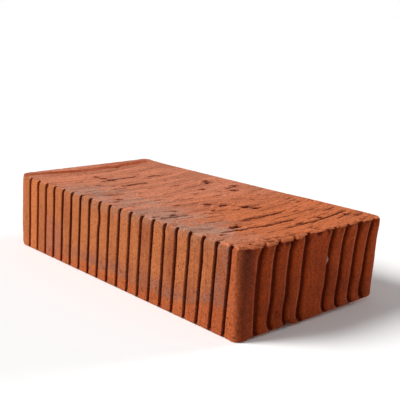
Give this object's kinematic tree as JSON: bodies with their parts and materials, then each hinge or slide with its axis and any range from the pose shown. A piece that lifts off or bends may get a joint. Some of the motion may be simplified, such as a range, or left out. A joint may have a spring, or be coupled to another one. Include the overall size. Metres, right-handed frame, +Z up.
{
  "type": "refractory brick",
  "caption": "Solid fired-clay brick with round upright corners, upright grooves on all four sides and wire-cut beds, for laying in furnace linings and walls.",
  "frame": {"origin": "middle of the lower bed, on the surface that the brick rests on", "axes": "+X along the length, +Y across the width, +Z up from bed to bed"},
  "size_m": [0.23, 0.114, 0.051],
  "materials": {
    "fired_clay": "matte fired clay, orange-red with dark grooves, pores and wire drag marks"
  },
  "bodies": {
    "root": {"brick": "fired_clay"}
  },
  "joints": []
}
